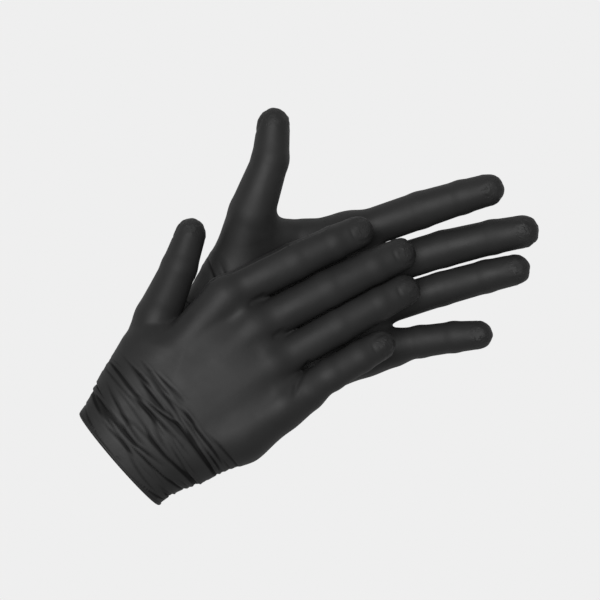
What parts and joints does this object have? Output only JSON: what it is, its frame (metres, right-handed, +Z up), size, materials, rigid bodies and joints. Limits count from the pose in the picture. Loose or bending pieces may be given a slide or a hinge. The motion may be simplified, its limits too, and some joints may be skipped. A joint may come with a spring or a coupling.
{
  "type": "pair of disposable nitrile gloves",
  "caption": "Pair of black nitrile film gloves in worn shape, palm to palm, with open cuffs, rolled beads and zones that flex at the joints of the hand.",
  "frame": {"origin": "middle of the flat patch on the back of the left glove's palm, where the pair rests", "axes": "+Z up, out of the left palm and into the right palm; +X along the long side of the pair, to where the left fingers point; +Y to the side the thumbs point"},
  "size_m": [0.2584, 0.2225, 0.0758],
  "materials": {
    "black_nitrile": "satin black film, fine creases"
  },
  "bodies": {
    "left_palm": {"left_palm": "black_nitrile"},
    "right_palm": {"right_palm": "black_nitrile"},
    "left_cuff": {"left_cuff": "black_nitrile", "left_cuff_bead": "black_nitrile"},
    "left_index_proximal": {"left_index_proximal": "black_nitrile"},
    "left_index_middle": {"left_index_middle": "black_nitrile"},
    "left_index_distal": {"left_index_distal": "black_nitrile"},
    "left_middle_proximal": {"left_middle_proximal": "black_nitrile"},
    "left_middle_middle": {"left_middle_middle": "black_nitrile"},
    "left_middle_distal": {"left_middle_distal": "black_nitrile"},
    "left_ring_proximal": {"left_ring_proximal": "black_nitrile"},
    "left_ring_middle": {"left_ring_middle": "black_nitrile"},
    "left_ring_distal": {"left_ring_distal": "black_nitrile"},
    "left_little_proximal": {"left_little_proximal": "black_nitrile"},
    "left_little_middle": {"left_little_middle": "black_nitrile"},
    "left_little_distal": {"left_little_distal": "black_nitrile"},
    "left_thumb_metacarpal": {"left_thumb_metacarpal": "black_nitrile"},
    "left_thumb_proximal": {"left_thumb_proximal": "black_nitrile"},
    "left_thumb_distal": {"left_thumb_distal": "black_nitrile"},
    "right_cuff": {"right_cuff": "black_nitrile", "right_cuff_bead": "black_nitrile"},
    "right_index_proximal": {"right_index_proximal": "black_nitrile"},
    "right_index_middle": {"right_index_middle": "black_nitrile"},
    "right_index_distal": {"right_index_distal": "black_nitrile"},
    "right_middle_proximal": {"right_middle_proximal": "black_nitrile"},
    "right_middle_middle": {"right_middle_middle": "black_nitrile"},
    "right_middle_distal": {"right_middle_distal": "black_nitrile"},
    "right_ring_proximal": {"right_ring_proximal": "black_nitrile"},
    "right_ring_middle": {"right_ring_middle": "black_nitrile"},
    "right_ring_distal": {"right_ring_distal": "black_nitrile"},
    "right_little_proximal": {"right_little_proximal": "black_nitrile"},
    "right_little_middle": {"right_little_middle": "black_nitrile"},
    "right_little_distal": {"right_little_distal": "black_nitrile"},
    "right_thumb_metacarpal": {"right_thumb_metacarpal": "black_nitrile"},
    "right_thumb_proximal": {"right_thumb_proximal": "black_nitrile"},
    "right_thumb_distal": {"right_thumb_distal": "black_nitrile"}
  },
  "joints": [
    {"name": "right_lift", "type": "slide", "parent": "left_palm", "child": "right_palm", "axis": [0, 0, 1], "range_m": [0, 0.12]},
    {"name": "left_wrist", "type": "hinge", "parent": "left_palm", "child": "left_cuff", "pos_m": [-0.0322, -0.01812, 0.0172], "axis": [0, 0, 1], "range_deg": [-15, 20], "stiffness_Nm_per_rad": 0.2045},
    {"name": "left_index_knuckle", "type": "hinge", "parent": "left_palm", "child": "left_index_proximal", "pos_m": [0.02988, 0.03829, 0.0126], "axis": [0.3256, -0.9455, 0], "range_deg": [-20, 28], "stiffness_Nm_per_rad": 0.0185},
    {"name": "left_index_mid", "type": "hinge", "parent": "left_index_proximal", "child": "left_index_middle", "pos_m": [0.06944, 0.05191, 0.01626], "axis": [0.2924, -0.9563, 0], "range_deg": [-5, 85], "stiffness_Nm_per_rad": 0.011},
    {"name": "left_index_end", "type": "hinge", "parent": "left_index_middle", "child": "left_index_distal", "pos_m": [0.09272, 0.05903, 0.02099], "axis": [0.2588, -0.9659, 0], "range_deg": [-3, 51], "stiffness_Nm_per_rad": 0.0041},
    {"name": "left_middle_knuckle", "type": "hinge", "parent": "left_palm", "child": "left_middle_proximal", "pos_m": [0.03797, 0.0158, 0.0126], "axis": [0.2924, -0.9563, 0], "range_deg": [-20, 6], "stiffness_Nm_per_rad": 0.0185},
    {"name": "left_middle_mid", "type": "hinge", "parent": "left_middle_proximal", "child": "left_middle_middle", "pos_m": [0.0828, 0.02951, 0.01588], "axis": [0.2334, -0.9724, 0], "range_deg": [-5, 85], "stiffness_Nm_per_rad": 0.0163},
    {"name": "left_middle_end", "type": "hinge", "parent": "left_middle_middle", "child": "left_middle_distal", "pos_m": [0.11065, 0.03619, 0.02041], "axis": [0.1736, -0.9848, 0], "range_deg": [-3, 51], "stiffness_Nm_per_rad": 0.0056},
    {"name": "left_ring_knuckle", "type": "hinge", "parent": "left_palm", "child": "left_ring_proximal", "pos_m": [0.04045, -0.00654, 0.0126], "axis": [0.3007, -0.9537, 0], "range_deg": [-20, 11], "stiffness_Nm_per_rad": 0.0185},
    {"name": "left_ring_mid", "type": "hinge", "parent": "left_ring_proximal", "child": "left_ring_middle", "pos_m": [0.08164, 0.00644, 0.01562], "axis": [0.2672, -0.9636, 0], "range_deg": [-5, 78], "stiffness_Nm_per_rad": 0.013},
    {"name": "left_ring_end", "type": "hinge", "parent": "left_ring_middle", "child": "left_ring_distal", "pos_m": [0.10708, 0.0135, 0.02027], "axis": [0.2334, -0.9724, 0], "range_deg": [-3, 47], "stiffness_Nm_per_rad": 0.0046},
    {"name": "left_little_knuckle", "type": "hinge", "parent": "left_palm", "child": "left_little_proximal", "pos_m": [0.03765, -0.0299, 0.0126], "axis": [0.1822, -0.9833, 0], "range_deg": [-20, 32], "stiffness_Nm_per_rad": 0.0185},
    {"name": "left_little_mid", "type": "hinge", "parent": "left_little_proximal", "child": "left_little_middle", "pos_m": [0.06992, -0.02392, 0.01605], "axis": [0.1392, -0.9903, 0], "range_deg": [-5, 68], "stiffness_Nm_per_rad": 0.0052},
    {"name": "left_little_end", "type": "hinge", "parent": "left_little_middle", "child": "left_little_distal", "pos_m": [0.08852, -0.02131, 0.02004], "axis": [0.0958, -0.9954, 0], "range_deg": [-3, 41], "stiffness_Nm_per_rad": 0.0023},
    {"name": "left_thumb_root", "type": "hinge", "parent": "left_palm", "child": "left_thumb_metacarpal", "pos_m": [-0.03989, 0.01103, 0.0182], "axis": [0, 0, -1], "range_deg": [-18, 22], "stiffness_Nm_per_rad": 0.0288},
    {"name": "left_thumb_knuckle", "type": "hinge", "parent": "left_thumb_metacarpal", "child": "left_thumb_proximal", "pos_m": [-0.02822, 0.04923, 0.03118], "axis": [0, 0, -1], "range_deg": [-5, 40], "stiffness_Nm_per_rad": 0.027},
    {"name": "left_thumb_end", "type": "hinge", "parent": "left_thumb_proximal", "child": "left_thumb_distal", "pos_m": [-0.01729, 0.07926, 0.03285], "axis": [0, 0, -1], "range_deg": [-8, 70], "stiffness_Nm_per_rad": 0.0097},
    {"name": "right_wrist", "type": "hinge", "parent": "right_palm", "child": "right_cuff", "pos_m": [-0.08034, -0.071, 0.057], "axis": [-0.6561, 0.7547, 0], "range_deg": [-2, 45], "stiffness_Nm_per_rad": 0.18},
    {"name": "right_index_knuckle", "type": "hinge", "parent": "right_palm", "child": "right_index_proximal", "pos_m": [-0.04079, 0.00279, 0.05004], "axis": [-0.4462, 0.8949, 0], "range_deg": [-40, 3], "stiffness_Nm_per_rad": 0.0185},
    {"name": "right_index_mid", "type": "hinge", "parent": "right_index_proximal", "child": "right_index_middle", "pos_m": [-0.00357, 0.02135, 0.04419], "axis": [-0.4305, 0.9026, 0], "range_deg": [-20, 5], "stiffness_Nm_per_rad": 0.013},
    {"name": "right_index_end", "type": "hinge", "parent": "right_index_middle", "child": "right_index_distal", "pos_m": [0.0184, 0.03183, 0.03946], "axis": [-0.4147, 0.91, 0], "range_deg": [-12, 3], "stiffness_Nm_per_rad": 0.0046},
    {"name": "right_middle_knuckle", "type": "hinge", "parent": "right_palm", "child": "right_middle_proximal", "pos_m": [-0.02566, -0.01571, 0.05008], "axis": [-0.4617, 0.887, 0], "range_deg": [-40, 1], "stiffness_Nm_per_rad": 0.0185},
    {"name": "right_middle_mid", "type": "hinge", "parent": "right_middle_proximal", "child": "right_middle_middle", "pos_m": [0.01562, 0.00578, 0.04354], "axis": [-0.4462, 0.8949, 0], "range_deg": [-20, 3], "stiffness_Nm_per_rad": 0.0163},
    {"name": "right_middle_end", "type": "hinge", "parent": "right_middle_middle", "child": "right_middle_distal", "pos_m": [0.0411, 0.01848, 0.038], "axis": [-0.4305, 0.9026, 0], "range_deg": [-12, 2], "stiffness_Nm_per_rad": 0.0063},
    {"name": "right_ring_knuckle", "type": "hinge", "parent": "right_palm", "child": "right_ring_proximal", "pos_m": [-0.01581, -0.03591, 0.05089], "axis": [-0.4924, 0.8704, 0], "range_deg": [-40, 3], "stiffness_Nm_per_rad": 0.0185},
    {"name": "right_ring_mid", "type": "hinge", "parent": "right_ring_proximal", "child": "right_ring_middle", "pos_m": [0.02151, -0.01479, 0.04487], "axis": [-0.4772, 0.8788, 0], "range_deg": [-20, 5], "stiffness_Nm_per_rad": 0.015},
    {"name": "right_ring_end", "type": "hinge", "parent": "right_ring_middle", "child": "right_ring_distal", "pos_m": [0.04463, -0.00224, 0.03975], "axis": [-0.4617, 0.887, 0], "range_deg": [-12, 3], "stiffness_Nm_per_rad": 0.005},
    {"name": "right_little_knuckle", "type": "hinge", "parent": "right_palm", "child": "right_little_proximal", "pos_m": [-0.01056, -0.05878, 0.05249], "axis": [-0.5225, 0.8526, 0], "range_deg": [-40, 9], "stiffness_Nm_per_rad": 0.0185},
    {"name": "right_little_mid", "type": "hinge", "parent": "right_little_proximal", "child": "right_little_middle", "pos_m": [0.01734, -0.04169, 0.04818], "axis": [-0.5075, 0.8616, 0], "range_deg": [-20, 17], "stiffness_Nm_per_rad": 0.0057},
    {"name": "right_little_end", "type": "hinge", "parent": "right_little_middle", "child": "right_little_distal", "pos_m": [0.0336, -0.03211, 0.04468], "axis": [-0.4924, 0.8704, 0], "range_deg": [-12, 11], "stiffness_Nm_per_rad": 0.0025},
    {"name": "right_thumb_root", "type": "hinge", "parent": "right_palm", "child": "right_thumb_metacarpal", "pos_m": [-0.09414, -0.04994, 0.05049], "axis": [0, 0, -1], "range_deg": [-20, 4], "stiffness_Nm_per_rad": 0.0288},
    {"name": "right_thumb_knuckle", "type": "hinge", "parent": "right_thumb_metacarpal", "child": "right_thumb_proximal", "pos_m": [-0.0814, -0.01073, 0.04247], "axis": [0, 0, -1], "range_deg": [-20, 8], "stiffness_Nm_per_rad": 0.028},
    {"name": "right_thumb_end", "type": "hinge", "parent": "right_thumb_proximal", "child": "right_thumb_distal", "pos_m": [-0.06926, 0.01786, 0.03473], "axis": [0, 0, -1], "range_deg": [-8, 25], "stiffness_Nm_per_rad": 0.0098}
  ],
  "couplings": [
    {"joint": "left_index_end", "follows": "left_index_mid", "ratio": 0.6},
    {"joint": "left_middle_end", "follows": "left_middle_mid", "ratio": 0.6},
    {"joint": "left_ring_end", "follows": "left_ring_mid", "ratio": 0.6},
    {"joint": "left_little_end", "follows": "left_little_mid", "ratio": 0.6},
    {"joint": "right_index_end", "follows": "right_index_mid", "ratio": 0.6},
    {"joint": "right_middle_end", "follows": "right_middle_mid", "ratio": 0.6},
    {"joint": "right_ring_end", "follows": "right_ring_mid", "ratio": 0.6},
    {"joint": "right_little_end", "follows": "right_little_mid", "ratio": 0.6}
  ]
}
